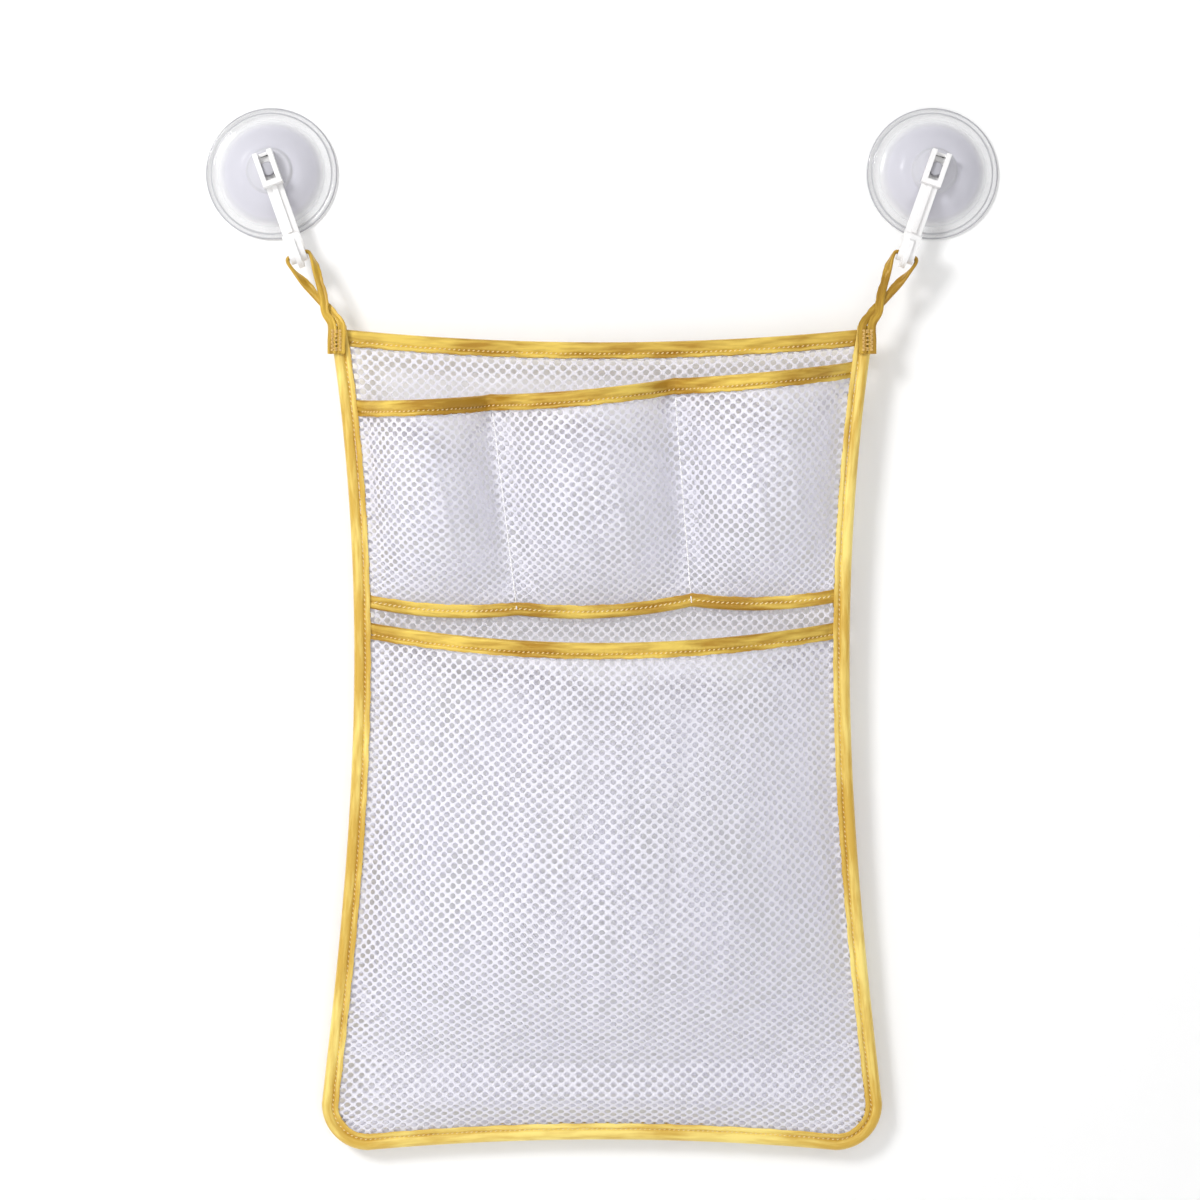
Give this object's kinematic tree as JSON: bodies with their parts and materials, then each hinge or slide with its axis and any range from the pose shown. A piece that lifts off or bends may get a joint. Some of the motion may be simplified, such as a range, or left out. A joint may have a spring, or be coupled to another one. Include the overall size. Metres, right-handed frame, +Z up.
{
  "type": "bath toy organizer",
  "caption": "Hanging net bag with small upper pockets and a deep lower pocket, bound in satin tape, slung by tape loops from hooks that swivel on suction cups.",
  "frame": {"origin": "on the wall, midway between the centres of the two suction cups", "axes": "+Z up, +Y into the wall, so the front of the bag faces -Y, and +X to the right seen from the front"},
  "size_m": [0.447, 0.0675, 0.586],
  "materials": {
    "clear_vinyl": "clear soft PVC, moulded glossy, with a faint grey tint",
    "white_plastic": "white moulded plastic, satin gloss",
    "white_net": "white polyester net with small round-cornered holes",
    "yellow_tape": "golden yellow satin bias tape",
    "white_thread": "cream polyester sewing thread"
  },
  "bodies": {
    "suction_cups": {"suction_cup_left": "clear_vinyl", "suction_cup_right": "clear_vinyl"},
    "left_hook": {"hook_left": "white_plastic"},
    "right_hook": {"hook_right": "white_plastic"},
    "loops": {"hanging_loop_left": "yellow_tape", "hanging_loop_right": "yellow_tape", "loop_tack_left": "white_thread", "loop_tack_right": "white_thread"},
    "bag": {"back_panel": "white_net", "upper_pocket_panel": "white_net", "lower_pocket_panel": "white_net", "edge_binding": "yellow_tape", "top_hem_binding": "yellow_tape", "upper_hem_binding": "yellow_tape", "lower_hem_binding": "yellow_tape", "upper_base_binding": "yellow_tape", "edge_stitching": "white_thread", "top_hem_stitching": "white_thread", "upper_hem_stitching": "white_thread", "lower_hem_stitching": "white_thread", "upper_base_stitching": "white_thread", "divider_seam_left": "white_thread", "divider_seam_right": "white_thread"}
  },
  "joints": [
    {"name": "left_hook_swivel", "type": "hinge", "parent": "suction_cups", "child": "left_hook", "pos_m": [-0.1865, -0.0168, 0], "axis": [0, 1, 0], "range_deg": [-5, 5]},
    {"name": "right_hook_swivel", "type": "hinge", "parent": "suction_cups", "child": "right_hook", "pos_m": [0.1865, -0.0168, 0], "axis": [0, 1, 0], "range_deg": [-5, 5]},
    {"name": "bag_sway", "type": "hinge", "parent": "left_hook", "child": "loops", "pos_m": [-0.16938, -0.0198, -0.04836], "axis": [0, 1, 0], "range_deg": [-5.6, 5.6]},
    {"name": "bag_swing", "type": "hinge", "parent": "loops", "child": "bag", "pos_m": [0, -0.0195, -0.107], "axis": [-1, 0, 0], "range_deg": [0, 60]}
  ],
  "couplings": [
    {"joint": "right_hook_swivel", "follows": "left_hook_swivel", "ratio": 1},
    {"joint": "bag_sway", "follows": "left_hook_swivel", "ratio": -1.1011}
  ]
}
